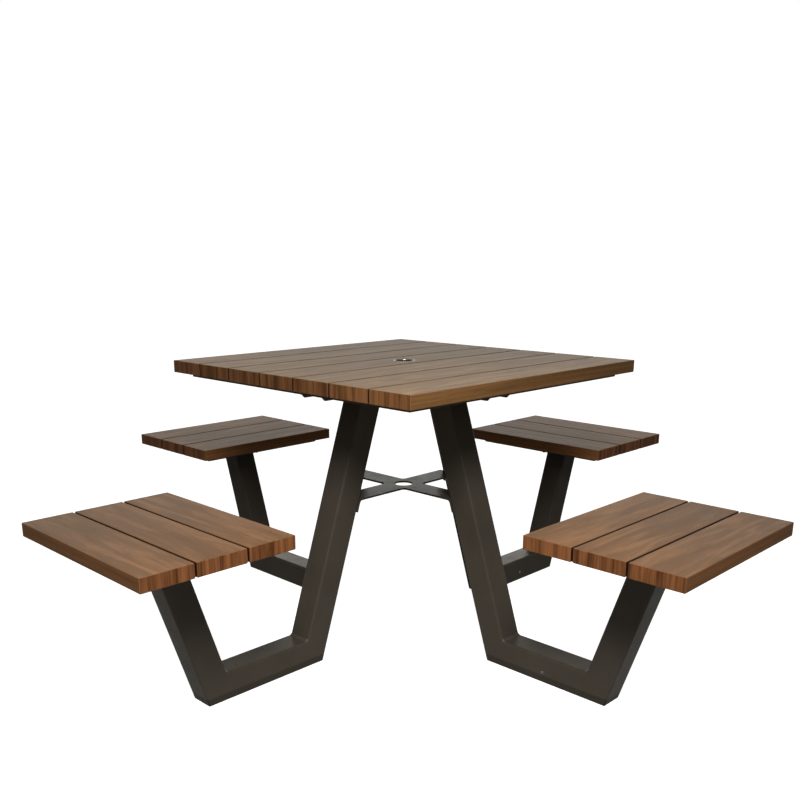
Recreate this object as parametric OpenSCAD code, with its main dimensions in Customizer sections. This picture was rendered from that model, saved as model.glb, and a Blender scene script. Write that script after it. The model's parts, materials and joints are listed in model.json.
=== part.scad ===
// Four-seat picnic table. A square slatted top stands on four bent tube frames that
// point along +X, -X, +Y and -Y, and each frame carries a slatted seat at its outer end.
// The origin is on the ground, at the centre of the table, with +Z up.
// X runs along the boards of the top. Right is +X, left is -X, back is +Y, front is -Y.

/* [Boards] */
// Width of every board
board_w = 120; // [100:1:144]
// Thickness of every board
board_t = 32; // [26:1:40]
// Gap between neighbouring boards
board_gap = 5; // [3:1:9]
// Radius of the long edges of a board
board_edge = 3; // [1:0.5:5]

/* [Heights and reach] */
// Height of the table top above the ground
table_h = 750; // [620:1:900]
// Height of the seats above the ground
seat_h = 450; // [370:1:540]
// Length of a seat, along its boards
seat_len = 500; // [410:1:600]
// Clear distance from the edge of the top to the near edge of a seat
knee_gap = 155; // [125:1:190]

/* [Tube frames] */
// Outer width of the square tube
tube_w = 70; // [58:1:84]
// Wall of the square tube
tube_wall = 3; // [2:0.5:4]
// Outer corner radius of the square tube
tube_edge = 6; // [4.5:0.5:8]
// Lean of the inner upright, towards the middle, in degrees
inner_lean = 18.2; // [15:0.1:21.9]
// Lean of the outer upright, away from the middle, in degrees
outer_lean = 17.6; // [14:0.1:21.2]
// Thickness of the plates welded to the ends of the uprights
plate_t = 6; // [5:0.5:8]
// Length of the plate under the top
top_plate_len = 258; // [215:1:280]
// Distance from the end of the top plate to the inner upright
top_plate_heel = 30; // [27:1:36]
// Thickness of the flanges that each plate turns down beside its upright
flange_t = 5; // [4:0.5:6]
// Depth of the flanges below their plate
flange_drop = 20; // [17:0.5:24]

/* [Bearer bars] */
// Thickness of the bars that the boards are screwed to
bar_t = 12; // [10:0.5:15]
// Width of the bars around the edge of the top
rail_w = 40; // [33:1:48]
// Width of the bars inside the top and in the seats
bar_w = 30; // [27:1:36]
// Distance from the edge of the top to the outer bars
top_inset = 35; // [28:1:42]
// Distance from the edge of a seat to its outer bars
seat_inset = 35; // [28:1:42]
// Distance of the inner seat bars from the middle of the seat
seat_bar_side = 52; // [52:1:62]

/* [Umbrella pole] */
// Bore for the umbrella pole in the ring set into the top
pole_d = 50; // [41:1:54]
// Wall of the ring set into the top
ring_wall = 2; // [1.5:0.5:2.5]
// Width of the flange of the ring
ring_flange_w = 4; // [3:0.5:6]
// Thickness of the flange of the ring
ring_flange_t = 1.5; // [1:0.5:2.5]
// Hole for the umbrella pole in the cross brace
brace_hole_d = 50; // [42:1:58]

/* [Cross brace] */
// Height of the upper face of the brace
brace_z = 411; // [345:1:490]
// Thickness of the brace
brace_t = 5; // [4:0.5:6]
// Width of the arms of the brace
brace_w = 70; // [60:1:84]
// Radius of the inner corners between the arms
brace_fillet = 10; // [6:1:14]
// Inner radius of the bend at the end of an arm
bend_r = 8; // [6:0.5:10]
// Straight length of the tab below the bend
tab_len = 26; // [22:0.5:31]

/* [Fasteners] */
// Diameter of the studs that hold the plates
stud_d = 10; // [8:0.5:12]
// Length of stud showing below its nut
stud_end = 6; // [4:0.5:8]
// Thickness of the nuts
nut_t = 8; // [6.5:0.5:9.5]
// Width across the flats of the nuts
nut_flats = 17; // [15:0.5:20]
// Diameter of the washers
washer_d = 21; // [19:0.5:24]
// Thickness of the washers
washer_t = 2; // [1.5:0.5:2.5]
// Diameter of the board screws
screw_d = 5; // [4:0.5:6]
// Depth that a board screw reaches into its board
screw_depth = 22; // [18:1:24]
// Diameter of the brace bolts
bolt_d = 8; // [6.5:0.5:9.5]
// Diameter of the vent rivets in the foot rails
rivet_d = 5; // [4:0.5:6]
// Height of the vent rivets above the ground
rivet_z = 27; // [22:1:34]

/* [Hidden] */

$fn = 48;
wood = "#6f4c36";
steel = "#3b352f";
zinc = "#9a9a96";

// Clearances
fit = 0.1;            // around a shank that is driven, pressed or welded in
slip = 0.5;           // added to the diameter of a hole that a shank passes through
coat = 0.1;           // paint between the brace and the uprights
pole_room = 1;        // from the ring or the brace hole to the nearest bar
plate_gap = 8;        // between the plates of two neighbouring frames
nut_room = 21.3;      // from an upright to the seat studs before and behind it
flange_gap = 0.3;     // between an upright and the flanges beside it
washer_room = 1.2;    // between a flange and the washers beside it
eps = 0.01;

// Boards of the top, along X, side by side in Y
TOP_BOARDS = 7;
SEAT_BOARDS = 3;
board_pitch = board_w + board_gap;
top_side = TOP_BOARDS * board_w + (TOP_BOARDS - 1) * board_gap;
seat_depth = SEAT_BOARDS * board_w + (SEAT_BOARDS - 1) * board_gap;
seat_r = top_side / 2 + knee_gap + seat_depth / 2;

// Levels, from each surface down to the end of its upright
top_under = table_h - board_t;
top_bar_under = top_under - bar_t;
inner_top_z = top_bar_under - plate_t;
seat_under = seat_h - board_t;
seat_bar_under = seat_under - bar_t;
outer_top_z = seat_bar_under - plate_t;

// Studs, beside the flanges of their plate
stud_side = tube_w / 2 + flange_gap + flange_t + washer_room + washer_d / 2;

// Bars of the top
top_bar_half = top_side / 2 - top_inset;
top_inner_half = top_bar_half - rail_w;
ring_r = pole_d / 2 + ring_wall;
top_bar_side = max(max(ring_r, brace_hole_d / 2) + pole_room + bar_w / 2, stud_side);

// Bars of a seat
seat_bar_half_r = seat_depth / 2 - seat_inset;
seat_bar_half_t = seat_len / 2 - seat_inset;
seat_bar_t = max(seat_bar_side, stud_side);

// Plates and their studs
plate_edge = 15;      // from a stud to the side of the top plate
stud_inset_in = 18;   // from a stud to the inner end of the top plate
stud_inset_out = 43;  // from a stud to the outer end of the top plate
seat_plate_edge = 20; // from a stud to the side of the seat plate
seat_plate_end = 22;  // from a stud to the end of the seat plate
plate_corner = 6;     // corner radius of the plates
flange_corner = 14;   // slope cut from the lower corners of the flanges
top_flange_end = 3;   // from a flange to the end of the top plate
seat_flange_end = 8;  // from a flange to the end of the seat plate
top_plate_w = 2 * (top_bar_side + plate_edge);
top_plate_in = top_plate_w / 2 + plate_gap;
top_stud_r = [top_plate_in + stud_inset_in, top_plate_in + top_plate_len - stud_inset_out];
outer_run = tube_w / cos(outer_lean);
inner_run = tube_w / cos(inner_lean);
seat_stud_reach = outer_run / 2 + nut_room;
seat_plate_len = 2 * (seat_stud_reach + seat_plate_end);
seat_plate_w = 2 * (seat_bar_t + seat_plate_edge);

// Outline of a tube frame, in the plane of its radius and Z
heel_r = top_plate_in + top_plate_heel + tan(inner_lean) * inner_top_z;
toe_r = seat_r + outer_run / 2 - tan(outer_lean) * outer_top_z;
heel_out = [heel_r, 0];
heel_in = [heel_r + inner_run - tan(inner_lean) * tube_w, tube_w];
toe_out = [toe_r, 0];
toe_in = [toe_r - outer_run + tan(outer_lean) * tube_w, tube_w];
rail_mid_r = (heel_r + toe_r) / 2;

// Cross brace
bend_out = bend_r + brace_t;
bend_c = [
    heel_r - tan(inner_lean) * (brace_z - bend_out) - (bend_out + coat) / cos(inner_lean),
    brace_z - bend_out
];
tab_top = bend_c + bend_out * [cos(inner_lean), sin(inner_lean)];
arm_lap = 20;         // length of arm that is drawn with its bend
bolt_inset = 15;       // from a bolt to the side of its tab
bolt_side = brace_w / 2 - bolt_inset;
bolt_drop = tab_len / 2;
head_r = bolt_d * 0.875;
head_t = bolt_d * 0.55;
socket_r = bolt_d * 0.36;
insert_wall = 1.5;
insert_r = bolt_d / 2 + insert_wall;
insert_len = 12;

// Board screws
sink_t = screw_d * 0.5;
sink_r = screw_d * 0.95;
screw_margin = 24;    // from a pair of screws to the edges of their board
screw_spread = board_w / 2 - screw_margin;
end_rail_x = 180;     // from the middle to the screws of the end rails
rail_end_margin = 15; // from a screw to the end of its rail

// Vent rivets
rivet_head_w = 8;
rivet_head_t = 1.2;

module rounded_square(w, h, r) {
    for (x = [-1, 1], y = [-1, 1])
        translate([x * (w / 2 - r), y * (h / 2 - r)]) circle(r);
    square([w - 2 * r, h], center = true);
    square([w, h - 2 * r], center = true);
}

// A profile drawn in the plane of radius and Z, given a width across that plane
module across(w) {
    rotate([90, 0, 0]) linear_extrude(w, center = true) children();
}

// Place children for each of the four sides: right, back, left, front
module on_side(k) {
    rotate(90 * k) children();
}

module on_all_sides() {
    for (k = [0:3]) on_side(k) children();
}

/* Boards */

// A board lying along X, with its underside at z = 0
module board(len) {
    rotate([90, 0, 90])
        linear_extrude(len, center = true)
            translate([0, board_t / 2]) rounded_square(board_w, board_t, board_edge);
}

module pilot_holes(points, under) {
    for (p = points)
        translate([p.x, p.y, under - 1]) cylinder(r = screw_d / 2 + fit, h = screw_depth + 1.5);
}

function board_y(i) = (i - (TOP_BOARDS + 1) / 2) * board_pitch;
function seat_board_r(i) = seat_r + (i - (SEAT_BOARDS + 1) / 2) * board_pitch;

rail_x = top_bar_half - rail_w / 2;

// Screw places along board i of the top, kept on the rails
rail_end = top_bar_half - rail_end_margin;
function on_rail(y) = max(-rail_end, min(rail_end, y));
function top_screws(i) = concat(
    [for (x = [-rail_x, rail_x], s = [-1, 1]) [x, on_rail(board_y(i) + s * screw_spread)]],
    i == 1 || i == TOP_BOARDS
        ? [for (x = [-end_rail_x, end_rail_x]) [x, (i == 1 ? -1 : 1) * rail_x]]
        : [for (x = [-top_bar_side, top_bar_side]) [x, board_y(i)]]
);

// Screw places along board i of a seat, seen from the table: radius, then sideways
seat_end_bar = seat_bar_half_t - bar_w / 2;
function seat_screws_at(i) = [
    for (t = [-seat_end_bar, -seat_bar_t, seat_bar_t, seat_end_bar]) [seat_board_r(i), t]
];

module table_board(i) {
    color(wood) difference() {
        translate([0, board_y(i), top_under]) board(top_side);
        pilot_holes(top_screws(i), top_under);
        if (i == (TOP_BOARDS + 1) / 2) {
            translate([0, 0, top_under - 1]) cylinder(r = ring_r + fit, h = board_t + 2);
            translate([0, 0, table_h - ring_flange_t])
                cylinder(r = ring_r + ring_flange_w + fit, h = ring_flange_t + 1);
        }
    }
}

module seat_board(k, i) {
    color(wood) on_side(k) difference() {
        translate([seat_board_r(i), 0, seat_under]) rotate(90) board(seat_len);
        pilot_holes(seat_screws_at(i), seat_under);
    }
}

/* Ring for the umbrella pole */

module umbrella_ring() {
    color(steel) difference() {
        union() {
            translate([0, 0, top_under]) cylinder(r = ring_r, h = board_t);
            translate([0, 0, table_h - ring_flange_t])
                cylinder(r = ring_r + ring_flange_w, h = ring_flange_t);
        }
        translate([0, 0, top_under - 1]) cylinder(d = pole_d, h = board_t + 2);
    }
}

/* Bars under the top and the seats */

module bar(x0, x1, y0, y1, under) {
    translate([x0, y0, under]) cube([x1 - x0, y1 - y0, bar_t]);
}

// Countersunk holes through a bar for the board screws
module sunk_holes(points, under) {
    for (p = points) translate([p.x, p.y, under]) {
        translate([0, 0, -1]) cylinder(d = screw_d + slip, h = bar_t + 2);
        translate([0, 0, -eps])
            cylinder(r1 = sink_r + fit, r2 = screw_d / 2 + fit, h = sink_t + fit);
    }
}

module stud_holes(points, under) {
    for (p = points)
        translate([p.x, p.y, under - 1]) cylinder(r = stud_d / 2 + fit, h = bar_t + 2);
}

function all_top_screws() = [for (i = [1:TOP_BOARDS]) for (p = top_screws(i)) p];
function all_seat_screws() = [for (i = [1:SEAT_BOARDS]) for (p = seat_screws_at(i)) p];
function top_studs() = [for (r = top_stud_r, s = [-1, 1]) [r, s * top_bar_side]];
function seat_studs() =
    [for (u = [-1, 1], s = [-1, 1]) [seat_r + u * seat_stud_reach, s * seat_bar_t]];
function turned(p) = [-p.y, p.x];

// The side rails run the full depth of the frame, the end rails fit between them
module table_side_rail(sx) {
    color(steel) difference() {
        bar(sx * rail_x - rail_w / 2, sx * rail_x + rail_w / 2, -top_bar_half, top_bar_half,
            top_bar_under);
        sunk_holes([for (p = all_top_screws()) if (abs(p.x - sx * rail_x) < eps) p], top_bar_under);
    }
}

module table_end_rail(sy) {
    color(steel) difference() {
        bar(-top_inner_half, top_inner_half, sy * rail_x - rail_w / 2, sy * rail_x + rail_w / 2,
            top_bar_under);
        sunk_holes([for (x = [-1, 1]) [x * end_rail_x, sy * rail_x]], top_bar_under);
    }
}

module table_bearer(sx) {
    color(steel) difference() {
        bar(sx * top_bar_side - bar_w / 2, sx * top_bar_side + bar_w / 2,
            -top_inner_half, top_inner_half, top_bar_under);
        sunk_holes([for (p = all_top_screws()) if (abs(p.x - sx * top_bar_side) < eps) p],
            top_bar_under);
        stud_holes([for (p = top_studs(), k = [-1, 1]) k * turned(p)], top_bar_under);
    }
}

module table_crossbars() {
    color(steel) for (sx = [-1, 1], sy = [-1, 1])
        scale([sx, sy, 1]) difference() {
            bar(top_bar_side + bar_w / 2, top_inner_half,
                top_bar_side - bar_w / 2, top_bar_side + bar_w / 2, top_bar_under);
            stud_holes(top_studs(), top_bar_under);
        }
}

// The bars of a seat are welded into one frame
module seat_frame(k) {
    a = seat_bar_half_r;
    b = seat_bar_half_t;
    color(steel) on_side(k) difference() {
        union() {
            for (s = [-1, 1]) {
                bar(seat_r - a, seat_r + a, s * (b - bar_w / 2) - bar_w / 2,
                    s * (b - bar_w / 2) + bar_w / 2, seat_bar_under);
                bar(seat_r + s * (a - bar_w / 2) - bar_w / 2, seat_r + s * (a - bar_w / 2) + bar_w / 2,
                    -b + eps, b - eps, seat_bar_under);
                bar(seat_r - a + eps, seat_r + a - eps, s * seat_bar_t - bar_w / 2,
                    s * seat_bar_t + bar_w / 2, seat_bar_under);
            }
        }
        sunk_holes(all_seat_screws(), seat_bar_under);
        stud_holes(seat_studs(), seat_bar_under);
    }
}

/* Tube frames */

module tube(len) {
    linear_extrude(len) difference() {
        rounded_square(tube_w, tube_w, tube_edge);
        rounded_square(tube_w - 2 * tube_wall, tube_w - 2 * tube_wall, tube_edge - tube_wall);
    }
}

// A point on a mitre line, at a share k of the way from its outer to its inner corner
function mitre(out, in, k) = out + k * (in - out);

module insert_holes() {
    for (s = [-1, 1]) brace_bolt_place(s)
        translate([0, 0, -1]) cylinder(r = insert_r + fit, h = tube_wall + 3);
}

// The place of a brace bolt on the back of a tab, with +Z pointing into the tube
module brace_bolt_place(s) {
    translate([tab_top.x, s * bolt_side, tab_top.y])
        rotate([0, -inner_lean, 0])
            translate([0, 0, -bolt_drop]) rotate([0, 90, 0]) children();
}

module inner_upright(k) {
    color(steel) on_side(k) difference() {
        intersection() {
            translate([heel_r + inner_run / 2, 0, 0]) rotate([0, -inner_lean, 0])
                translate([0, 0, -tube_w]) tube(table_h + 3 * tube_w);
            across(2 * tube_w) polygon([
                mitre(heel_out, heel_in, -0.3), mitre(heel_out, heel_in, 1.3),
                [heel_in.x + tube_w, inner_top_z], [0, inner_top_z], [0, -tube_w]
            ]);
        }
        insert_holes();
    }
}

module outer_upright(k) {
    color(steel) on_side(k) intersection() {
        translate([toe_r - outer_run / 2, 0, 0]) rotate([0, outer_lean, 0])
            translate([0, 0, -tube_w]) tube(seat_h + 3 * tube_w);
        across(2 * tube_w) polygon([
            mitre(toe_out, toe_in, -0.3), mitre(toe_out, toe_in, 1.3),
            [toe_in.x - tube_w, outer_top_z], [toe_r + seat_h, outer_top_z],
            [toe_r + seat_h, -tube_w]
        ]);
    }
}

module foot_rail(k) {
    color(steel) on_side(k) difference() {
        intersection() {
            translate([heel_r - tube_w, 0, tube_w / 2]) rotate([0, 90, 0])
                tube(toe_r - heel_r + 2 * tube_w);
            across(2 * tube_w) polygon([
                mitre(heel_out, heel_in, -0.3), mitre(heel_out, heel_in, 1.3),
                mitre(toe_out, toe_in, 1.3), mitre(toe_out, toe_in, -0.3)
            ]);
        }
        rivet_place() translate([0, 0, -1]) cylinder(r = rivet_d / 2 + fit, h = tube_wall + 2);
    }
}

// The place of the vent rivet, with +Z pointing into the tube
module rivet_place() {
    translate([rail_mid_r, -tube_w / 2, rivet_z]) rotate([-90, 0, 0]) children();
}

module drilled_plate(x0, x1, w, under, points) {
    difference() {
        translate([(x0 + x1) / 2, 0, under])
            linear_extrude(plate_t) rounded_square(x1 - x0, w, plate_corner);
        for (p = points)
            translate([p.x, p.y, under - 1]) cylinder(d = stud_d + slip, h = plate_t + 2);
    }
}

// The two flanges of a plate, one on each side of its upright
module flanges(x0, x1, under) {
    top = under + plate_t / 2;
    low = under - flange_drop;
    for (s = [-1, 1])
        translate([0, s * (tube_w / 2 + flange_gap + flange_t / 2), 0]) across(flange_t)
            polygon([
                [x0, top], [x0, low + flange_corner], [x0 + flange_corner, low],
                [x1 - flange_corner, low], [x1, low + flange_corner], [x1, top]
            ]);
}

module top_plate(k) {
    x0 = top_plate_in;
    x1 = top_plate_in + top_plate_len;
    color(steel) on_side(k) {
        drilled_plate(x0, x1, top_plate_w, inner_top_z, top_studs());
        flanges(x0 + top_flange_end, x1 - top_flange_end, inner_top_z);
    }
}

module seat_plate(k) {
    x0 = seat_r - seat_plate_len / 2;
    x1 = seat_r + seat_plate_len / 2;
    color(steel) on_side(k) {
        drilled_plate(x0, x1, seat_plate_w, outer_top_z, seat_studs());
        flanges(x0 + seat_flange_end, x1 - seat_flange_end, outer_top_z);
    }
}

/* Cross brace */

module brace_outline() {
    difference() {
        union() {
            for (a = [0, 90]) rotate(a) square([2 * bend_c.x - arm_lap, brace_w], center = true);
            for (a = [0:90:270]) rotate(a) translate([brace_w / 2, brace_w / 2]) difference() {
                translate([-eps, -eps]) square(brace_fillet + eps);
                translate([brace_fillet, brace_fillet]) circle(brace_fillet);
            }
        }
        circle(d = brace_hole_d);
    }
}

// The end of an arm, its bend and the tab below it, in the plane of radius and Z.
// The centre of the bend is at the origin.
module bend_profile() {
    past = bend_out + 1;
    difference() {
        union() {
            circle(bend_out);
            translate([-arm_lap, 0]) square([arm_lap, bend_out]);
            rotate(inner_lean) translate([0, -tab_len]) square([bend_out, tab_len]);
        }
        circle(bend_r);
        translate([-arm_lap - 1, -past]) square([arm_lap + 1, past + bend_r]);
        rotate(inner_lean)
            translate([-past, -tab_len - 1]) square([past + bend_r, tab_len + 1]);
    }
}

module cross_brace() {
    color(steel) difference() {
        union() {
            translate([0, 0, brace_z - brace_t]) linear_extrude(brace_t) brace_outline();
            on_all_sides() across(brace_w) translate(bend_c) bend_profile();
        }
        on_all_sides() for (s = [-1, 1]) brace_bolt_place(s)
            translate([0, 0, -brace_t - 2]) cylinder(d = bolt_d + slip, h = brace_t + 4);
    }
}

module brace_bolts() {
    color(zinc) on_all_sides() for (s = [-1, 1]) brace_bolt_place(s) difference() {
        union() {
            translate([0, 0, -brace_t]) cylinder(d = bolt_d, h = brace_t + insert_len);
            translate([0, 0, -brace_t - head_t]) cylinder(r = head_r, h = head_t);
        }
        translate([0, 0, -brace_t - head_t - 1]) cylinder(r = socket_r, h = head_t, $fn = 6);
    }
}

module brace_inserts() {
    color(zinc) on_all_sides() for (s = [-1, 1]) brace_bolt_place(s) difference() {
        translate([0, 0, coat]) cylinder(r = insert_r, h = insert_len);
        translate([0, 0, -1]) cylinder(r = bolt_d / 2 + fit, h = insert_len + 2);
    }
}

/* Studs, washers and nuts that hold the plates */

module at_every_stud() {
    on_all_sides() {
        for (p = top_studs()) translate([p.x, p.y, inner_top_z]) children();
        for (p = seat_studs()) translate([p.x, p.y, outer_top_z]) children();
    }
}

stud_below = washer_t + nut_t + stud_end;

module plate_studs() {
    color(zinc) at_every_stud()
        translate([0, 0, -stud_below]) cylinder(d = stud_d, h = stud_below + plate_t + bar_t);
}

module plate_washers() {
    color(zinc) at_every_stud() translate([0, 0, -washer_t]) difference() {
        cylinder(d = washer_d, h = washer_t);
        translate([0, 0, -1]) cylinder(d = stud_d + slip, h = washer_t + 2);
    }
}

module plate_nuts() {
    color(zinc) at_every_stud() translate([0, 0, -washer_t - nut_t]) difference() {
        cylinder(d = nut_flats / cos(30), h = nut_t, $fn = 6);
        translate([0, 0, -1]) cylinder(r = stud_d / 2 + fit, h = nut_t + 2);
    }
}

/* Board screws */

module screw(under) {
    translate([0, 0, under]) {
        cylinder(d = screw_d, h = bar_t + screw_depth);
        cylinder(r1 = sink_r, r2 = screw_d / 2, h = sink_t);
    }
}

module table_screws() {
    color(zinc) for (p = all_top_screws()) translate([p.x, p.y, 0]) screw(top_bar_under);
}

module seat_screws() {
    color(zinc) on_all_sides()
        for (p = all_seat_screws()) translate([p.x, p.y, 0]) screw(seat_bar_under);
}

/* Vent rivets in the foot rails */

module vent_rivets() {
    color(zinc) on_all_sides() rivet_place() {
        cylinder(d = rivet_d, h = tube_wall + 3);
        translate([0, 0, -rivet_head_t]) cylinder(d1 = rivet_d, d2 = rivet_head_w, h = rivet_head_t);
    }
}

table_board(1);  // table_board_1
table_board(2);  // table_board_2
table_board(3);  // table_board_3
table_board(4);  // table_board_4
table_board(5);  // table_board_5
table_board(6);  // table_board_6
table_board(7);  // table_board_7
umbrella_ring();
table_side_rail(1);  // table_rail_right
table_end_rail(1);  // table_rail_back
table_side_rail(-1);  // table_rail_left
table_end_rail(-1);  // table_rail_front
table_bearer(1);  // table_bearer_right
table_bearer(-1);  // table_bearer_left
table_crossbars();
seat_board(0, 1);  // seat_board_right_1
seat_board(0, 2);  // seat_board_right_2
seat_board(0, 3);  // seat_board_right_3
seat_board(1, 1);  // seat_board_back_1
seat_board(1, 2);  // seat_board_back_2
seat_board(1, 3);  // seat_board_back_3
seat_board(2, 1);  // seat_board_left_1
seat_board(2, 2);  // seat_board_left_2
seat_board(2, 3);  // seat_board_left_3
seat_board(3, 1);  // seat_board_front_1
seat_board(3, 2);  // seat_board_front_2
seat_board(3, 3);  // seat_board_front_3
seat_frame(0);  // seat_frame_right
seat_frame(1);  // seat_frame_back
seat_frame(2);  // seat_frame_left
seat_frame(3);  // seat_frame_front
inner_upright(0);  // inner_upright_right
inner_upright(1);  // inner_upright_back
inner_upright(2);  // inner_upright_left
inner_upright(3);  // inner_upright_front
foot_rail(0);  // foot_rail_right
foot_rail(1);  // foot_rail_back
foot_rail(2);  // foot_rail_left
foot_rail(3);  // foot_rail_front
outer_upright(0);  // outer_upright_right
outer_upright(1);  // outer_upright_back
outer_upright(2);  // outer_upright_left
outer_upright(3);  // outer_upright_front
top_plate(0);  // top_plate_right
top_plate(1);  // top_plate_back
top_plate(2);  // top_plate_left
top_plate(3);  // top_plate_front
seat_plate(0);  // seat_plate_right
seat_plate(1);  // seat_plate_back
seat_plate(2);  // seat_plate_left
seat_plate(3);  // seat_plate_front
cross_brace();
brace_bolts();
brace_inserts();
plate_studs();
plate_washers();
plate_nuts();
table_screws();
seat_screws();
vent_rivets();
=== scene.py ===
"""Looks of the four-seat slatted picnic table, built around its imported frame.

Units are metres. +X is right, -X left, +Y back, -Y front, and the ground is z = 0.
"""
import json
import math
import random

import bmesh
import bpy
from mathutils import Matrix, Vector


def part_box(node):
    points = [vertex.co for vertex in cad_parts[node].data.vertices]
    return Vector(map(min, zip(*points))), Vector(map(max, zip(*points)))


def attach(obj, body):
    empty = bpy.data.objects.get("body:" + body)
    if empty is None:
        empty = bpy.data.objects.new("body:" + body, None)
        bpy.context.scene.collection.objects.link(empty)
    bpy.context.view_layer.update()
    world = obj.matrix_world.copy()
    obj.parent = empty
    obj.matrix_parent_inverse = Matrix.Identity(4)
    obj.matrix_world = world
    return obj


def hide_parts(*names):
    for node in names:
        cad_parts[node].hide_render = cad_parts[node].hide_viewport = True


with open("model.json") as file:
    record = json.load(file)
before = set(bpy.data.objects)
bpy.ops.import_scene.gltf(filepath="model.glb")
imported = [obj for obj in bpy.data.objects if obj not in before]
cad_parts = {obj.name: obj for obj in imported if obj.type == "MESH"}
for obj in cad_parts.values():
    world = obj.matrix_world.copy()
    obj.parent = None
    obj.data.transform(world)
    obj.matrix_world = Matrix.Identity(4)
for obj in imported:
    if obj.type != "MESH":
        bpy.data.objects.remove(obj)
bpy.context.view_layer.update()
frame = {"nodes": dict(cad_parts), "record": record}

MM = 0.001
SIDES = ("right", "back", "left", "front")      # a quarter turn apart
SAME_POINT = 0.001 * MM

# Finer shapes than the CAD holds
BOARD_EDGE = 2 * MM          # radius of the long edges
BOARD_END_EDGE = 1.4 * MM    # radius around the sawn ends
STEEL_EDGE = 0.6 * MM        # broken edge of cut plates and bars
WELD_LEG = 6 * MM            # size of the weld in the corner of a frame
PLATE_WELD_LEG = 4.5 * MM    # size of the welds under a plate
FLANGE_WELD_LEG = 3.5 * MM   # size of the welds along the flanges of a plate
WELD_RIPPLE = 3.2 * MM       # spacing of the ripples of a weld
TUBE_EDGE = 6 * MM           # corner radius of the tube, as in the CAD
LEAN = math.radians(18.2)    # lean of the inner uprights, as in the CAD
THREAD_PITCH = 1.5 * MM
THREAD_DEPTH = 0.6 * MM


# ---------------------------------------------------------------- mesh helpers

def add_piece(name, verts, faces, material, stands_for=()):
    """A new mesh piece that rides on the table."""
    mesh = bpy.data.meshes.new(name)
    mesh.from_pydata([tuple(v) for v in verts], [], faces)
    face_outwards(mesh)
    mesh.materials.append(material)
    piece = bpy.data.objects.new(name, mesh)
    bpy.context.scene.collection.objects.link(piece)
    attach(piece, "root")
    if stands_for:
        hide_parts(*stands_for)
    return piece


def face_outwards(mesh):
    """Join points that meet and turn every face outwards."""
    bm = bmesh.new()
    bm.from_mesh(mesh)
    bmesh.ops.remove_doubles(bm, verts=bm.verts, dist=SAME_POINT)
    bmesh.ops.recalc_face_normals(bm, faces=bm.faces)
    bm.to_mesh(mesh)
    bm.free()


def soften(obj, angle=38):
    """Smooth shading with flat faces kept flat and edges sharper than angle kept crisp."""
    mesh = obj.data
    mesh.polygons.foreach_set("use_smooth", [True] * len(mesh.polygons))
    mesh.set_sharp_from_angle(angle=math.radians(angle))
    normals = obj.modifiers.new("flat_faces", "WEIGHTED_NORMAL")
    normals.keep_sharp = True


def loft(rings, closed_ends=True):
    """Faces between rings of equal length, with a cap on each end."""
    count = len(rings[0])
    verts = [p for ring in rings for p in ring]
    faces = []
    for r in range(len(rings) - 1):
        for i in range(count):
            j = (i + 1) % count
            a, b = r * count, (r + 1) * count
            faces.append((a + i, a + j, b + j, b + i))
    if closed_ends:
        faces.append(tuple(reversed(range(count))))
        faces.append(tuple(range((len(rings) - 1) * count, len(rings) * count)))
    return verts, faces


def turned_point(radius, angle, z):
    return Vector((radius * math.cos(angle), radius * math.sin(angle), z))


def joined_round(outlines):
    """Faces between closed outlines that stand around an axis, the last joined to the first."""
    verts, faces = loft(outlines, closed_ends=False)
    count = len(outlines[0])
    last = (len(outlines) - 1) * count
    for i in range(count):
        j = (i + 1) % count
        faces.append((last + i, last + j, j, i))
    return verts, faces


def turned(profile, steps=48):
    """A closed outline of (radius, z) points turned about Z."""
    outlines = []
    for s in range(steps):
        angle = 2 * math.pi * s / steps
        outlines.append([turned_point(r, angle, z) for r, z in profile])
    return joined_round(outlines)


def merged(parts):
    """Several (verts, faces) as one."""
    verts, faces = [], []
    for part_verts, part_faces in parts:
        base = len(verts)
        verts += part_verts
        faces += [tuple(base + i for i in face) for face in part_faces]
    return verts, faces


def placed(part, matrix):
    verts, faces = part
    return [matrix @ v for v in verts], faces


def side_matrix(side):
    """From a side's own frame, in which the table's middle is behind and +X points out."""
    return Matrix.Rotation(math.radians(90 * SIDES.index(side)), 4, "Z")


def solids(node):
    """The vertices of each separate solid of a CAD node, as lists of vectors."""
    mesh = frame["nodes"][node].data
    place = {}
    ids = [place.setdefault(tuple(round(c, 6) for c in v.co), len(place)) for v in mesh.vertices]
    parent = list(range(len(place)))

    def root(i):
        while parent[i] != i:
            parent[i] = parent[parent[i]]
            i = parent[i]
        return i

    for edge in mesh.edges:
        parent[root(ids[edge.vertices[0]])] = root(ids[edge.vertices[1]])
    groups = {}
    for key, i in place.items():
        groups.setdefault(root(i), []).append(Vector(key))
    return sorted(groups.values(), key=lambda g: tuple(round(c, 4) for c in centre_of(g)))


def corners_of(points):
    low = Vector([min(p[i] for p in points) for i in range(3)])
    high = Vector([max(p[i] for p in points) for i in range(3)])
    return low, high


def centre_of(points):
    low, high = corners_of(points)
    return (low + high) / 2


# ---------------------------------------------------------------- materials

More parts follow.
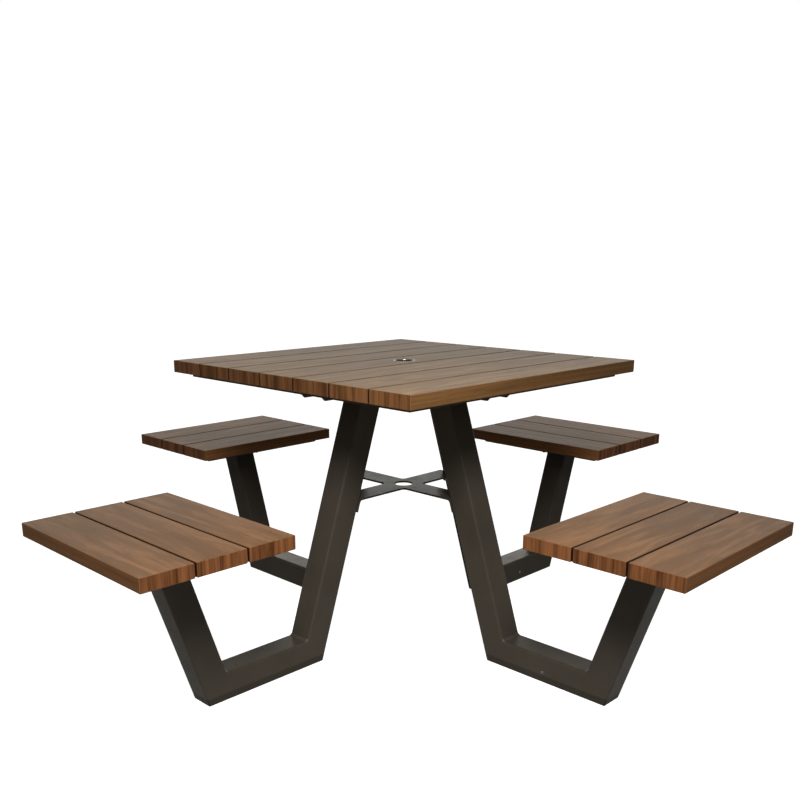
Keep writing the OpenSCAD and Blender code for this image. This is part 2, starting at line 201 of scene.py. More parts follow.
class Paint:
    """A node material, written as a short list of connected nodes."""

    def __init__(self, name):
        self.material = bpy.data.materials.new(name)
        self.material.use_nodes = True
        self.tree = self.material.node_tree
        self.tree.nodes.clear()
        self.shader = self.tree.nodes.new("ShaderNodeBsdfPrincipled")
        output = self.tree.nodes.new("ShaderNodeOutputMaterial")
        self.tree.links.new(self.shader.outputs[0], output.inputs["Surface"])
        self.coords = self.tree.nodes.new("ShaderNodeTexCoord")

    def link(self, source, target):
        self.tree.links.new(source, target)

    def put(self, target, value):
        if isinstance(value, bpy.types.NodeSocket):
            self.link(value, target)
        else:
            target.default_value = value

    def stretched(self, scale, shift=(0, 0, 0)):
        """Object coordinates, stretched."""
        mapping = self.tree.nodes.new("ShaderNodeMapping")
        self.link(self.coords.outputs["Object"], mapping.inputs["Vector"])
        mapping.inputs["Scale"].default_value = scale
        mapping.inputs["Location"].default_value = shift
        return mapping.outputs[0]

    def noise(self, vector, scale=1.0, detail=4.0, roughness=0.5, distortion=0.0):
        node = self.tree.nodes.new("ShaderNodeTexNoise")
        self.link(vector, node.inputs["Vector"])
        node.inputs["Scale"].default_value = scale
        node.inputs["Detail"].default_value = detail
        node.inputs["Roughness"].default_value = roughness
        node.inputs["Distortion"].default_value = distortion
        return node.outputs["Fac"]

    def math(self, operation, a, b=0.0, clamp=False):
        node = self.tree.nodes.new("ShaderNodeMath")
        node.operation = operation
        node.use_clamp = clamp
        self.put(node.inputs[0], a)
        self.put(node.inputs[1], b)
        return node.outputs[0]

    def ranged(self, value, low, high, out_low=0.0, out_high=1.0):
        node = self.tree.nodes.new("ShaderNodeMapRange")
        self.link(value, node.inputs["Value"])
        node.inputs["From Min"].default_value = low
        node.inputs["From Max"].default_value = high
        node.inputs["To Min"].default_value = out_low
        node.inputs["To Max"].default_value = out_high
        return node.outputs[0]

    def spread(self, noise, out_low=0.0, out_high=1.0):
        """A noise, which mostly lies between 0.3 and 0.7, brought to a range."""
        return self.ranged(noise, 0.3, 0.7, out_low, out_high)

    def mix(self, factor, a, b, blend="MIX"):
        node = self.tree.nodes.new("ShaderNodeMix")
        node.data_type = "RGBA"
        node.blend_type = blend
        self.put(node.inputs["Factor"], factor)
        for socket, value in ((node.inputs[6], a), (node.inputs[7], b)):
            self.put(socket, value if isinstance(value, bpy.types.NodeSocket) else (*value, 1.0))
        return node.outputs[2]

    def bump(self, height, distance, strength=1.0):
        node = self.tree.nodes.new("ShaderNodeBump")
        self.link(height, node.inputs["Height"])
        node.inputs["Distance"].default_value = distance
        node.inputs["Strength"].default_value = strength
        self.link(node.outputs[0], self.shader.inputs["Normal"])

    def normal_axis(self, axis):
        """How far a face looks along one of the piece's own axes, from -1 to 1."""
        split = self.tree.nodes.new("ShaderNodeSeparateXYZ")
        self.link(self.coords.outputs["Normal"], split.inputs[0])
        return split.outputs[axis]

    def facing(self, axis):
        """1 on faces that look along the piece's own axis, 0 on the others."""
        return self.ranged(self.math("ABSOLUTE", self.normal_axis(axis)), 0.6, 0.8)

    def edges(self):
        """1 along rounded edges, 0 on flat faces."""
        most = self.math("ABSOLUTE", self.normal_axis(0))
        for axis in (1, 2):
            most = self.math("MAXIMUM", most, self.math("ABSOLUTE", self.normal_axis(axis)))
        return self.ranged(most, 0.82, 0.97, 1.0, 0.0)


SEAT_TINT = (1.04, 0.92, 0.92)   # the seats are a little redder than the top
PORE = (0.045, 0.018, 0.006)
# painted shade for the long sides of a board that face a gap
GAP_SHADE = (0.034, 0.015, 0.006)
# paler colour for rounded edges: partly wear, partly a painted highlight
EDGE_WEAR_AND_HIGHLIGHT = (0.270, 0.165, 0.092)
WOOD_IOR = 1.2          # set by the photo's sheen and not measured, like the other two
WOOD_DARK = (0.150, 0.074, 0.024)
WOOD_MID = (0.222, 0.116, 0.040)
WOOD_LIGHT = (0.282, 0.149, 0.057)
END_DARK = (0.076, 0.029, 0.009)
END_LIGHT = (0.265, 0.115, 0.042)


def broad_colour(paint, noises, tone):
    """Long figure and fine fibres of the broad faces."""
    figure, patches, fibres = noises
    depth = paint.spread(figure, 0.0, 0.85)
    depth = paint.math("ADD", depth, paint.spread(patches, -0.2, 0.2))
    depth = paint.math("ADD", depth, paint.spread(fibres, -0.2 + tone, 0.26 + tone), True)
    broad = paint.mix(depth, WOOD_DARK, WOOD_MID)
    return paint.mix(paint.ranged(depth, 0.45, 1.0), broad, WOOD_LIGHT)


def lined_colour(paint, shift):
    """Lengthwise lines of the long narrow faces."""
    lines = paint.noise(paint.stretched((2.6, 30, 130), shift), detail=5, distortion=0.6)
    lined = paint.mix(paint.ranged(lines, 0.34, 0.66), END_DARK, END_LIGHT)
    return paint.mix(0.55, lined, WOOD_MID)


def sawn_colour(paint, shift):
    """Upright bands of the sawn ends."""
    bands = paint.noise(paint.stretched((0, 62, 3.5), shift), detail=3, roughness=0.62)
    slim = paint.noise(paint.stretched((0, 260, 7), shift), detail=3, roughness=0.6)
    streaks = paint.math("ADD", paint.ranged(bands, 0.35, 0.65, 0, 0.75),
                         paint.spread(slim, -0.12, 0.35), True)
    return paint.mix(streaks, END_DARK, END_LIGHT)


def pores_wear_and_painted_light(paint, colour, shift, patches, hidden_sides):
    """Sparse dark pores, painted shade on the long sides that face a gap, and edges made paler,
    partly as wear and partly as a painted highlight.
    """
    pores = paint.noise(paint.stretched((26, 620, 620), shift), detail=2)
    colour = paint.mix(paint.ranged(pores, 0.60, 0.70, 0, 0.35), colour, PORE)
    # painted shade: each long side that faces a gap is darkened
    for sign in hidden_sides:
        towards_gap = paint.ranged(paint.math("MULTIPLY", paint.normal_axis(1), sign), 0.35, 0.9)
        colour = paint.mix(towards_gap, colour, GAP_SHADE)
    # rounded edges turn paler: partly wear, partly a painted highlight
    edge_wear_and_highlight = paint.math("MULTIPLY", paint.edges(), paint.ranged(patches, 0.35, 0.65, 0.25, 0.6))
    return paint.mix(edge_wear_and_highlight, colour, EDGE_WEAR_AND_HIGHLIGHT)


def wood(name, seed, hidden_sides=(), tint=(1, 1, 1)):
    """Brown board, grain along its own X: figure on top, fine lines on the sides, bands on the ends.
    hidden_sides has -1 or 1 for each long side that faces a gap, which painted shade darkens."""
    pick = random.Random(seed)
    paint = Paint(name)
    shift = (pick.uniform(0, 40), pick.uniform(0, 40), pick.uniform(0, 40))
    tone = pick.uniform(-0.12, 0.12)
    figure = paint.noise(paint.stretched((5, 34, 34), shift), detail=5, distortion=0.9)
    patches = paint.noise(paint.stretched((2.4, 7, 7), shift), detail=3)
    fibres = paint.noise(paint.stretched((16, 560, 560), shift), detail=4, roughness=0.6)
    broad = broad_colour(paint, (figure, patches, fibres), tone)
    colour = paint.mix(paint.facing(1), broad, lined_colour(paint, shift))
    colour = paint.mix(paint.facing(0), colour, sawn_colour(paint, shift))
    colour = pores_wear_and_painted_light(paint, colour, shift, patches, hidden_sides)
    colour = paint.mix(1.0, colour, tint, "MULTIPLY")
    paint.put(paint.shader.inputs["Base Color"], colour)
    paint.put(paint.shader.inputs["Roughness"], paint.spread(fibres, 0.42, 0.54))
    paint.shader.inputs["IOR"].default_value = WOOD_IOR
    paint.bump(paint.math("ADD", fibres, paint.math("MULTIPLY", figure, 0.6)), 0.25 * MM, 0.5)
    return paint.material


COAT_IOR = 1.27
BRACE_IOR = 1.12


def powder_coat(name, colour, light, grit=0.35, ior=COAT_IOR):
    """Satin powder coat: fine orange peel, faint cloudiness and dust."""
    paint = Paint(name)
    cloud = paint.noise(paint.stretched((7, 7, 7)), detail=5)
    speck = paint.noise(paint.stretched((1400, 1400, 1400)), detail=2)
    peel = paint.noise(paint.stretched((420, 420, 420)), detail=3)
    tone = paint.math("ADD", paint.spread(cloud, 0.1, 0.7),
                      paint.spread(speck, -0.1, 0.25), True)
    paint.put(paint.shader.inputs["Base Color"], paint.mix(tone, colour, light))
    scuffs = paint.noise(paint.stretched((30, 30, 90)), detail=6, roughness=0.7)
    paint.put(paint.shader.inputs["Roughness"], paint.ranged(scuffs, 0.3, 0.75, 0.27, 0.40))
    paint.shader.inputs["IOR"].default_value = ior
    paint.bump(paint.math("ADD", peel, paint.math("MULTIPLY", speck, grit)), 0.12 * MM, 0.6)
    return paint.material


DULLED = 0.72           # the darkest part of the spangle, as a share of the lightest


def plated(name, colour, rough):
    """Bare plated metal with a soft spangle."""
    paint = Paint(name)
    cloud = paint.noise(paint.stretched((160, 160, 160)), detail=4)
    fine = paint.noise(paint.stretched((1500, 1500, 1500)), detail=2)
    dull = tuple(c * DULLED for c in colour)
    paint.put(paint.shader.inputs["Base Color"], paint.mix(paint.spread(cloud), dull, colour))
    paint.put(paint.shader.inputs["Roughness"], paint.spread(cloud, rough, rough + 0.14))
    paint.shader.inputs["Metallic"].default_value = 1.0
    paint.bump(fine, 0.05 * MM, 0.4)
    return paint.material


bronze = powder_coat("bronze_powder_coat", (0.050, 0.041, 0.031), (0.074, 0.061, 0.046))
brace_coat = powder_coat("brace_powder_coat", (0.050, 0.039, 0.029), (0.074, 0.059, 0.044),
                         ior=BRACE_IOR)
weld_coat = powder_coat("powder_coat_on_weld", (0.048, 0.039, 0.029), (0.070, 0.058, 0.044), 0.8)
ring_coat = powder_coat("ring_powder_coat", (0.075, 0.058, 0.042), (0.105, 0.083, 0.062))
# painted shade: the bore is painted near black for the shade inside it
bore_shade_coat = powder_coat("ring_bore_painted_shade", (0.020, 0.014, 0.009), (0.032, 0.023, 0.015))
BARE_LIP = 0.35               # share of the lip that is rubbed bare
ring_metal = plated("turned_stainless", (0.62, 0.60, 0.57), 0.24)
zinc = plated("zinc_plate", (0.50, 0.50, 0.48), 0.32)
bright_metal = plated("bright_rivet", (0.86, 0.86, 0.84), 0.22)


# ---------------------------------------------------------------- boards

def rounded_outline(width, height, radius, steps=5):
    """Points around a rounded rectangle, anticlockwise, as (across, up)."""
    points = []
    for quarter, (sx, sy) in enumerate(((1, 1), (-1, 1), (-1, -1), (1, -1))):
        middle = (sx * (width / 2 - radius), sy * (height / 2 - radius))
        for s in range(steps + 1):
            a = math.radians(90 * quarter + 90 * s / steps)
            points.append((middle[0] + radius * math.cos(a), middle[1] + radius * math.sin(a)))
    return points


def board_shape(length, width, height):
    """A board along X, with rounded long edges and softer ends."""
    rings = []
    steps = 3
    for end in (-1, 1):
        stations = []
        for s in range(steps + 1):
            a = math.radians(90 * s / steps)
            inset = BOARD_END_EDGE * (1 - math.sin(a))
            x = end * (length / 2 - BOARD_END_EDGE * (1 - math.cos(a)))
            stations.append((x, inset))
        rings += stations if end < 0 else list(reversed(stations))
    outlines = []
    for x, inset in rings:
        outline = rounded_outline(width - 2 * inset, height - 2 * inset, BOARD_EDGE - inset)
        outlines.append([Vector((x, y, z)) for y, z in outline])
    return loft(outlines)


def bore_out(piece, cutters):
    """Cut round holes given as (radius, low z, high z) in the piece's own frame."""
    for radius, low, high in cutters:
        mesh = bpy.data.meshes.new("cutter")
        bm = bmesh.new()
        bmesh.ops.create_cone(bm, cap_ends=True, segments=72, radius1=radius, radius2=radius,
                              depth=high - low)
        bmesh.ops.translate(bm, verts=bm.verts, vec=(0, 0, (low + high) / 2))
        bm.to_mesh(mesh)
        bm.free()
        cutter = bpy.data.objects.new("cutter", mesh)
        bpy.context.scene.collection.objects.link(cutter)
        cut = piece.modifiers.new("bore", "BOOLEAN")
        cut.operation = "DIFFERENCE"
        cut.solver = "EXACT"
        cut.object = cutter
        cutter.parent = piece
        bpy.context.view_layer.update()
        shape = bpy.data.meshes.new_from_object(
            piece.evaluated_get(bpy.context.evaluated_depsgraph_get()))
        piece.modifiers.clear()
        piece.data = shape
        bpy.data.objects.remove(cutter)


def sides_at_gaps(node, low, high, along_x):
    """Which long sides of a board, in its own frame, face another board."""
    family = node.rsplit("_", 1)[0]
    boxes = [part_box(n) for n in frame["nodes"] if n.rsplit("_", 1)[0] == family]
    axis = 1 if along_x else 0
    own = 1 if along_x else -1                  # a turned board's own +Y looks along -X
    sides = []
    if min(b[0][axis] for b in boxes) < low[axis] - MM:
        sides.append(-own)
    if max(b[1][axis] for b in boxes) > high[axis] + MM:
        sides.append(own)
    return sides


def make_board(node, seed):
    low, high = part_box(node)
    size = high - low
    along_x = size.x > size.y
    length, width = (size.x, size.y) if along_x else (size.y, size.x)
    verts, faces = board_shape(length, width, size.z)
    tint = SEAT_TINT if node.startswith("seat") else (1, 1, 1)
    finish = wood(f"wood_{node}", seed, sides_at_gaps(node, low, high, along_x), tint)
    piece = add_piece(f"{node}_solid", verts, faces, finish, [node])
    if not along_x:
        piece.rotation_euler.z = math.radians(90)
    piece.location = (low + high) / 2
    return piece


RING_WALL = 2 * MM           # wall of the ring's sleeve, as in the CAD
RING_FLANGE = 1.5 * MM       # thickness of its flange, as in the CAD
RING_PLAY = 0.1 * MM         # between the ring and its board
FIRST_BOARD_SEED = 100


def ring_radii():
    """The radii of the ring's bore, sleeve and flange."""
    mount = next(m for m in frame["record"]["mounts"] if m["name"] == "umbrella_bore")
    bore = mount["dims"]["r_mm"] * MM
    low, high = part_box("umbrella_ring")
    return bore, bore + RING_WALL, (high.x - low.x) / 2


def fit_for_ring(piece, height):
    """Bore a board for the ring's sleeve and sink the flange into its top."""
    sleeve, flange = ring_radii()[1:]
    half = height / 2
    bore_out(piece, [(sleeve + RING_PLAY, -2 * half, 2 * half),
                     (flange + RING_PLAY, half - RING_FLANGE, 2 * half)])


def boards():
    names = sorted(n for n in frame["nodes"] if "board" in n)
    for number, node in enumerate(names):
        piece = make_board(node, FIRST_BOARD_SEED + number)
        low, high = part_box(node)
        if low.x < 0 < high.x and low.y < 0 < high.y:
            fit_for_ring(piece, high.z - low.z)
        soften(piece)


boards()


# ---------------------------------------------------------------- steelwork from the CAD

JOINED = 0.01 * MM      # points of the CAD mesh this close are one


def dress(node, material, edge=0.0):
    """Give a CAD node its paint and, if edge is set, a small broken edge."""
    obj = frame["nodes"][node]
    obj.data.materials.clear()
    obj.data.materials.append(material)
    weld = obj.modifiers.new("join_faces", "WELD")
    weld.merge_threshold = JOINED
    if edge:
        bevel = obj.modifiers.new("broken_edge", "BEVEL")
        bevel.width = edge
        bevel.segments = 2
        bevel.limit_method = "ANGLE"
        bevel.angle_limit = math.radians(50)
        bevel.use_clamp_overlap = True
    obj.data.polygons.foreach_set("use_smooth", [True] * len(obj.data.polygons))
    normals = obj.modifiers.new("flat_faces", "WEIGHTED_NORMAL")
    normals.keep_sharp = False


CUT_STEEL = ("table_rail", "table_bearer", "table_crossbars", "seat_frame", "top_plate",
             "seat_plate", "cross_brace")
TUBES = ("inner_upright", "foot_rail", "outer_upright")
for node in sorted(frame["nodes"]):
    if node.startswith(CUT_STEEL):
        dress(node, brace_coat if node == "cross_brace" else bronze, STEEL_EDGE)
    elif node.startswith(TUBES):
        dress(node, bronze)
    elif node in ("plate_washers", "brace_inserts"):
        dress(node, zinc, 0.2 * MM)


# ---------------------------------------------------------------- welds

WELD_ROOT = 0.15        # how far a weld reaches behind the corner, as a share of its leg
WELD_BELLY = 0.38       # how full its face is; 0.5 would be flat
WELD_HEIGHT_CHANGE = 0.10


def bead(path):
    """A weld along path, a list of (corner, direction a, direction b, leg)."""
    steps = 5
    rings = []
    for corner, a, b, leg in path:
        ring = [corner - (a + b) * leg * WELD_ROOT]
        start, end = a * leg, b * leg
        pull = (a + b) * leg * WELD_BELLY
        for s in range(steps + 1):
            t = s / steps
            point = start * (1 - t) ** 2 + pull * 2 * t * (1 - t) + end * t ** 2
            ring.append(corner + point)
        rings.append(ring)
    return loft(rings)


def ripple(distance, leg):
    return leg * (1 + WELD_HEIGHT_CHANGE * math.sin(2 * math.pi * distance / WELD_RIPPLE))


def edge_drop(t, half_width):
    """How far the rounded edge of the tube falls away at t across its face."""
    over = max(0.0, abs(t) - (half_width - TUBE_EDGE))
    return TUBE_EDGE - math.sqrt(max(0.0, TUBE_EDGE ** 2 - over ** 2))


def corner_bead(outer, inner, along_rail, along_post):
    """The weld across the inside of a mitred corner. Points are in the side's own frame."""
    half_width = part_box("foot_rail_right")[1].y
    count = 90
    path = []
    for s in range(count + 1):
        t = (2 * s / count - 1) * (half_width - 0.4 * MM)
        drop = edge_drop(t, half_width)
        corner = inner + (outer - inner) * drop / (2 * half_width)
        corner = Vector((corner.x, t, corner.z))
        leg = ripple(t + half_width, WELD_LEG) * (1 - 0.5 * drop / TUBE_EDGE)
        path.append((corner, along_rail, along_post, leg))
    return bead(path)


def straight_bead(start, end, a, b, leg):
    """A weld from start to end, tapering at both ends."""
    length = (end - start).length
    count = round(length / (WELD_RIPPLE / 4))
    path = []
    for s in range(count + 1):
        run = length * s / count
        taper = min(1.0, 0.35 + 0.65 * min(run, length - run) / leg)
        path.append((start.lerp(end, s / count), a, b, ripple(run, leg) * taper))
    return bead(path)


def plate_welds(node, top_x, run, lean):
    """The welds between an upright and its plate: one before it, one behind, one on each flange."""
    low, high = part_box(node)
    top, half = high.z, high.y
    plate = node.replace("inner_upright", "top_plate").replace("outer_upright", "seat_plate")
    flange_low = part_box(plate)[0].z
    down = Vector((-math.sin(lean), 0, -math.cos(lean)))
    side = Vector((0, half - TUBE_EDGE / 2, 0))
    beads = []
    for sign, x in ((-1, top_x), (1, top_x + run)):
        face = Vector((x, 0, top))
        out = Vector((sign, 0, 0))
        beads.append(straight_bead(face - side, face + side, out, down, PLATE_WELD_LEG))
    lower = top_x - math.tan(lean) * (top - flange_low)
    for sign in (-1, 1):
        start = Vector((lower + TUBE_EDGE, sign * half, flange_low))
        end = Vector((lower + run - TUBE_EDGE, sign * half, flange_low))
        out = Vector((0, sign, 0))
        beads.append(straight_bead(start, end, out, Vector((0, 0, -1)), FLANGE_WELD_LEG))
    return beads


def frame_welds():
    """The four welds of one frame, in the side's own frame."""
    rail_low, rail_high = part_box("foot_rail_right")
    in_low, in_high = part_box("inner_upright_right")
    out_low, out_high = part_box("outer_upright_right")
    height = rail_high.z
    post_in = Vector((-math.sin(LEAN), 0, math.cos(LEAN)))
    outer_top = out_high.x
    outward = math.atan2(outer_top - rail_high.x, out_high.z)
    post_out = Vector((math.sin(outward), 0, math.cos(outward)))
    heel = corner_bead(Vector((rail_low.x, 0, 0)), Vector((in_high.x, 0, height)),
                       Vector((1, 0, 0)), post_in)
    toe = corner_bead(Vector((rail_high.x, 0, 0)), Vector((out_low.x, 0, height)),
                      Vector((-1, 0, 0)), post_out)
    tube = 2 * rail_high.y
    inner_run = tube / math.cos(LEAN)
    outer_run = tube / math.cos(outward)
    top = plate_welds("inner_upright_right", in_low.x, inner_run, -LEAN)
    seat = plate_welds("outer_upright_right", outer_top - outer_run, outer_run, outward)
    return merged([heel, toe] + top + seat)


welds = frame_welds()
for side in SIDES:
    verts, faces = placed(welds, side_matrix(side))
    piece = add_piece(f"frame_welds_{side}", verts, faces, weld_coat)
    soften(piece, 60)


# ---------------------------------------------------------------- fasteners

STUD_CHAMFER = 0.9 * MM
NUT_FACE = 0.97              # radius of a nut's flat face, as a share of half its width
NUT_CHAMFER = math.radians(30)


def threaded_end(radius, low, high):
    """A stud between two heights with a real thread over its length."""
    around = 20
    count = max(2, round((high - low) / (THREAD_PITCH / 6)))
    rings = []
    for s in range(count + 1):
        z = low + (high - low) * s / count
        chamfer = max(0.0, STUD_CHAMFER - min(z - low, high - z))
        ring = []
        for i in range(around):
            phase = (z / THREAD_PITCH - i / around) % 1
            cut = THREAD_DEPTH * abs(2 * phase - 1)
            ring.append(turned_point(radius - cut - chamfer, 2 * math.pi * i / around, z))
        rings.append(ring)
    return loft(rings)


def hex_nut(flats, bore, low, high):
    """A nut with chamfered corners."""
    steps = 72
    face_r = flats / 2 * NUT_FACE
    outlines = []
    for s in range(steps):
        angle = 2 * math.pi * s / steps
        turn = (angle + math.pi / 6) % (math.pi / 3) - math.pi / 6
        reach = flats / 2 / math.cos(turn)
        drop = max(0.0, reach - face_r) * math.tan(NUT_CHAMFER)
        profile = [(bore, low), (bore, high), (face_r, high), (reach, high - drop),
                   (reach, low + drop), (face_r, low)]
        outlines.append([turned_point(r, angle, z) for r, z in profile])
    return joined_round(outlines)


def socket_head(outline, depth, drive_r, lobe_depth, lobes=6, steps=48):
    """A turned head with a lobed recess in its low face. outline runs from the recess outwards
    as (radius, z), starting at the low face and ending on the axis above."""
    low = outline[0][1]
    outlines = []
    for s in range(steps):
        angle = 2 * math.pi * s / steps
        drive = drive_r - lobe_depth * (0.5 + 0.5 * math.cos(lobes * angle))
        column = [(0.0, low + depth), (drive * 0.9, low + depth), (drive, low)] + outline
        outlines.append([turned_point(r, angle, z) for r, z in column])
    verts, faces = joined_round(outlines)
    count = len(outlines[0])
    on_axis = {0, count - 1}
    return verts, [f for f in faces if {i % count for i in f} != on_axis]


def group_piece(node, shapes, material, angle=38):
    verts, faces = merged(shapes)
    piece = add_piece(f"{node}_detailed", verts, faces, material, [node])
    soften(piece, angle)
    return piece


def upright_at(points):
    low, high = corners_of(points)
    return Matrix.Translation(((low.x + high.x) / 2, (low.y + high.y) / 2, 0)), low, high


def plate_fasteners():
    """The studs of the plates, and the nuts on them."""
    studs, nuts = [], []
    for points in solids("plate_studs"):
        matrix, low, high = upright_at(points)
        stud_r = (high.x - low.x) / 2
        studs.append(placed(threaded_end(stud_r, low.z, high.z), matrix))
    group_piece("plate_studs", studs, zinc, 60)
    for points in solids("plate_nuts"):
        matrix, low, high = upright_at(points)
        flats = min(high.x - low.x, high.y - low.y)
        nuts.append(placed(hex_nut(flats, stud_r, low.z, high.z), matrix))
    group_piece("plate_nuts", nuts, zinc, 25)


SCREW_RIM = 0.2 * MM
SCREW_HEAD_HEIGHT = 2.6 * MM
SCREW_DRIVE_DEPTH = 1.8 * MM
SCREW_HEAD_RATIO = 1.9       # head radius to shank radius, as in the CAD
BOLT_DOME = 4.4 * MM         # height of a bolt's head
BOLT_DRIVE_DEPTH = 2.4 * MM
BOLT_HEAD_RATIO = 1.75


def board_screws(node):
    """Countersunk screws with a lobed recess below."""
    screws = []
    for points in solids(node):
        matrix, low, high = upright_at(points)
        head = (high.x - low.x) / 2
        shank = head / SCREW_HEAD_RATIO
        outline = [(head - SCREW_RIM, low.z), (head, low.z + SCREW_RIM),
                   (shank, low.z + SCREW_HEAD_HEIGHT), (shank, high.z), (0.0, high.z)]
        screw = socket_head(outline, SCREW_DRIVE_DEPTH, head * 0.5, head * 0.12)
        screws.append(placed(screw, matrix))
    group_piece(node, screws, zinc)


def domed_bolt(head_r, length):
    """A bolt along Z with a domed head at its low end."""
    shank = head_r / BOLT_HEAD_RATIO
    outline = [(head_r * 0.55, 0.0), (head_r * 0.8, BOLT_DOME * 0.16),
               (head_r * 0.95, BOLT_DOME * 0.42), (head_r, BOLT_DOME * 0.75),
               (head_r, BOLT_DOME), (shank, BOLT_DOME), (shank, length), (0.0, length)]
    return socket_head(outline, BOLT_DRIVE_DEPTH, head_r * 0.42, head_r * 0.05)


def brace_bolt(points):
    """The bolt that stands for one CAD solid, square to the leaning face of its upright."""
    middle = centre_of(points)
    turn = round(math.degrees(math.atan2(middle.y, middle.x)) / 90) * 90
    spin = Matrix.Rotation(math.radians(turn), 4, "Z")
    local = [spin.inverted() @ p for p in points]
    into_tube = Vector((math.cos(LEAN), 0, math.sin(LEAN)))
    across = Vector((-math.sin(LEAN), 0, math.cos(LEAN)))
    reach = [p.dot(into_tube) for p in local]
    spread = [p.dot(across) for p in local]
    start = into_tube * min(reach) + across * (max(spread) + min(spread)) / 2
    start.y = (min(p.y for p in local) + max(p.y for p in local)) / 2
    bolt = domed_bolt((max(spread) - min(spread)) / 2, max(reach) - min(reach))
    tilt = Matrix.Rotation(math.radians(90) - LEAN, 4, "Y")
    return placed(bolt, spin @ Matrix.Translation(start) @ tilt)


plate_fasteners()
board_screws("table_screws")
board_screws("seat_screws")
bolts = [brace_bolt(points) for points in solids("brace_bolts")]
group_piece("brace_bolts", bolts, zinc)


# ---------------------------------------------------------------- pole ring and rivets

RING_LIP = 3.0 * MM          # radius of the rounded lip around the bore
RING_EDGE = 0.4 * MM         # broken edge of the flange
RIVET_DOME = 1.2 * MM
RIVET_LENGTH = 5 * MM


def pole_ring():
    """The ring of the pole hole: a painted flange, a lip rubbed bare and a bore painted near black
    as painted shade.
    """
    low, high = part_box("umbrella_ring")
    bore, sleeve, flange = ring_radii()
    profile = [(bore, low.z)]
    for step in range(7):                       # a quarter turn around the lip
        a = math.radians(15 * step)
        profile.append((bore + RING_LIP * (1 - math.cos(a)), high.z - RING_LIP * (1 - math.sin(a))))
    profile += [(flange - RING_EDGE, high.z), (flange, high.z - RING_EDGE),
                (flange, high.z - RING_FLANGE), (sleeve, high.z - RING_FLANGE), (sleeve, low.z)]
    verts, faces = turned(profile, 96)
    ring = add_piece("umbrella_ring_turned", verts, faces, ring_coat, ["umbrella_ring"])
    ring.data.materials.append(ring_metal)
    ring.data.materials.append(bore_shade_coat)
    for face in ring.data.polygons:
        middle = face.center
        if math.hypot(middle.x, middle.y) < bore + RING_LIP * BARE_LIP:
            # the bore below the lip gets the near-black painted shade
            face.material_index = 1 if middle.z > high.z - RING_LIP else 2
    soften(ring, 50)


def vent_rivet(points):
    """The domed rivet that stands for one CAD solid in the side of a foot rail."""
    low, high = corners_of(points)
    middle = (low + high) / 2
    size = high - low
    axis = 0 if size.x < size.z else 1
    sign = 1 if middle[axis] > 0 else -1
    head_r = size.z / 2
    profile = [(0.0, 0.0), (head_r * 0.45, RIVET_DOME * 0.1), (head_r * 0.8, RIVET_DOME * 0.42),
               (head_r, RIVET_DOME), (head_r * 0.6, RIVET_DOME), (head_r * 0.6, RIVET_LENGTH),
               (0.0, RIVET_LENGTH)]
    middle[axis] = (high if sign > 0 else low)[axis]
    inwards = Vector((0, 0, 0))
    inwards[axis] = -sign
    turn = Vector((0, 0, 1)).rotation_difference(inwards).to_matrix().to_4x4()
    return placed(turned(profile, 32), Matrix.Translation(middle) @ turn)


def vent_rivets():
    rivets = [vent_rivet(points) for points in solids("vent_rivets")]
    group_piece("vent_rivets", rivets, bright_metal, 50)


pole_ring()
vent_rivets()


# ---------------------------------------------------------------- studio and camera

FLOOR_REACH = 14.0
FLOOR_GLOW = 0.9             # the floor's own light, which keeps it almost white

# Brightness of the surroundings
BACK_WALL = 1.85
WALL_TINT = (0.99, 0.99, 0.92)
FRONT_ROOM = 0.07
CEILING = 0.2
BELOW = 0.07
BELOW_BEHIND = 0.3


def studio():
    """A pale floor and white surroundings, lit from above the camera, from the floor before the
    table and by a bright wall behind it."""
    reach = FLOOR_REACH
    corners = [(-reach, -reach, 0), (reach, -reach, 0), (reach, reach, 0), (-reach, reach, 0)]
    mesh = bpy.data.meshes.new("floor")
    mesh.from_pydata(corners, [], [(0, 1, 2, 3)])
    paint = Paint("pale_floor")
    cloud = paint.noise(paint.stretched((0.6, 0.6, 0.6)), detail=2)
    colour = paint.mix(paint.spread(cloud), (0.78, 0.78, 0.78), (0.82, 0.82, 0.82))
    paint.put(paint.shader.inputs["Base Color"], colour)
    paint.shader.inputs["Roughness"].default_value = 1.0
    paint.shader.inputs["Emission Color"].default_value = (1, 1, 1, 1)
    paint.shader.inputs["Emission Strength"].default_value = FLOOR_GLOW
    mesh.materials.append(paint.material)
    floor = bpy.data.objects.new("floor", mesh)
    floor.location.z = -0.5 * MM
    floor.visible_diffuse = False           # a white floor would light the table from below
    floor.visible_glossy = False
    bpy.context.scene.collection.objects.link(floor)
    surroundings()
    add_light("key", place=(-1.5, -1.5, 2.0), target=(-0.65, -0.65, 0.55),
              size=0.7, power=12.5, spread=80)
    add_light("floor_bounce", place=(-0.9, -0.9, 0.02), target=(-0.9, -0.9, 1.0),
              size=2.4, power=7, reflected=False)


def add_node(tree, kind, *inputs, **settings):
    """A node with its inputs given in order, as values or as the sockets that feed them."""
    made = tree.nodes.new(kind)
    for key, value in settings.items():
        setattr(made, key, value)
    for socket, value in zip(made.inputs, inputs):
        if isinstance(value, bpy.types.NodeSocket):
            tree.links.new(value, socket)
        elif value is not None:
            socket.default_value = value
    return made


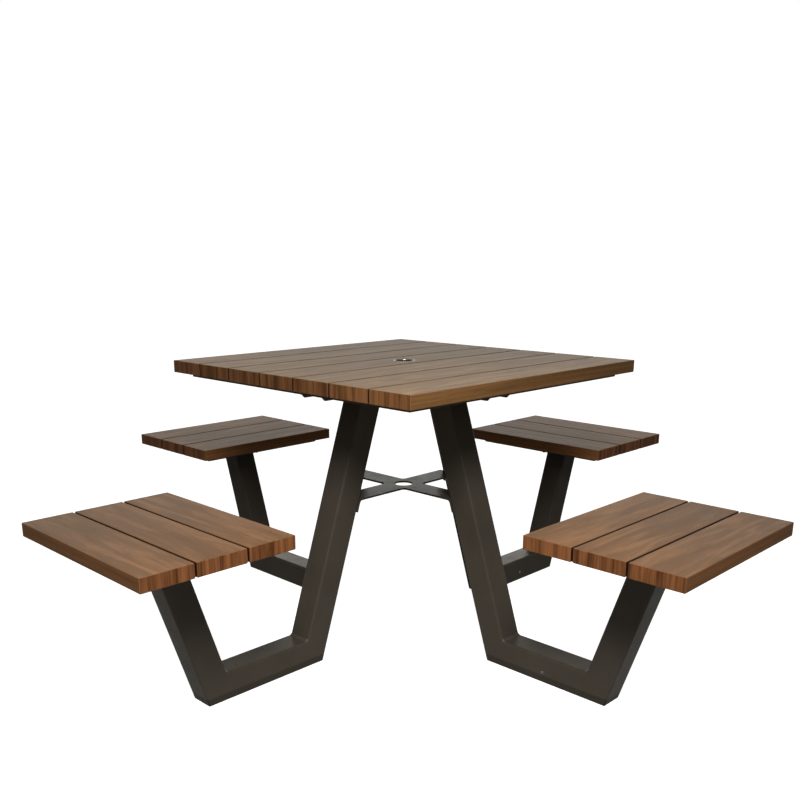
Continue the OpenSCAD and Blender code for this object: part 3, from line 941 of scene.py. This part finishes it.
def surroundings():
    """Around the table: a bright wall behind it, a dim room before it, and a dim ceiling."""
    world = bpy.data.worlds.new("studio")
    bpy.context.scene.world = world
    world.use_nodes = True
    tree = world.node_tree
    background = tree.nodes["Background"]

    def node(kind, *inputs, **settings):
        return add_node(tree, kind, *inputs, **settings)

    coords = node("ShaderNodeTexCoord").outputs["Generated"]
    behind = node("ShaderNodeVectorMath", coords, (0.707, 0.707, 0), operation="DOT_PRODUCT")
    split = node("ShaderNodeSeparateXYZ", coords)
    wall = node("ShaderNodeMapRange", behind.outputs["Value"], 0.35, 0.85, FRONT_ROOM, BACK_WALL,
                interpolation_type="SMOOTHSTEP")
    rise = node("ShaderNodeMapRange", split.outputs["Z"], 0.2, 0.6, 0.0, 1.0,
                interpolation_type="SMOOTHSTEP")
    drop = node("ShaderNodeMapRange", split.outputs["Z"], -0.06, 0.0, 0.0, 1.0,
                interpolation_type="SMOOTHSTEP")
    below = node("ShaderNodeMapRange", behind.outputs["Value"], 0.0, 0.5, BELOW, BELOW_BEHIND)
    upper = node("ShaderNodeMix", rise.outputs[0], None, wall.outputs[0], CEILING)
    all_round = node("ShaderNodeMix", drop.outputs[0], None, below.outputs[0], upper.outputs[0])
    seen = node("ShaderNodeLightPath").outputs["Is Camera Ray"]
    level = node("ShaderNodeMix", seen, None, all_round.outputs[0], 1.0)
    tint = node("ShaderNodeMix", data_type="RGBA")
    tree.links.new(seen, tint.inputs[0])
    tint.inputs[6].default_value = (*WALL_TINT, 1)
    tint.inputs[7].default_value = (1, 1, 1, 1)
    tree.links.new(tint.outputs[2], background.inputs["Color"])
    tree.links.new(level.outputs[0], background.inputs["Strength"])


def add_light(name, place, target, size, power, spread=180, reflected=True):
    data = bpy.data.lights.new(name, "AREA")
    data.shape = "DISK"
    data.size = size
    data.energy = power
    data.spread = math.radians(spread)
    lamp = bpy.data.objects.new(name, data)
    bpy.context.scene.collection.objects.link(lamp)
    lamp.location = place
    lamp.visible_camera = False
    lamp.visible_glossy = reflected
    lamp.rotation_mode = "QUATERNION"
    lamp.rotation_quaternion = (Vector(target) - Vector(place)).to_track_quat("-Z", "Y")


def camera():
    """The photograph's view: a little above the top, from the corner of the left and front sides."""
    azimuth, elevation = math.radians(-45.17), math.radians(15.44)
    data = bpy.data.cameras.new("camera")
    data.sensor_width = 36
    data.lens = 40.1
    data.shift_x = 0.015
    data.shift_y = 0.125
    eye = bpy.data.objects.new("camera", data)
    bpy.context.scene.collection.objects.link(eye)
    eye.location = (-1.7257, -1.6546, 1.0228)
    back = Vector((math.sin(azimuth) * math.cos(elevation),
                   -math.cos(azimuth) * math.cos(elevation), math.sin(elevation)))
    eye.rotation_mode = "QUATERNION"
    eye.rotation_quaternion = (-back).to_track_quat("-Z", "Y")
    bpy.context.scene.camera = eye


studio()
camera()
bpy.context.scene.view_settings.view_transform = "Standard"
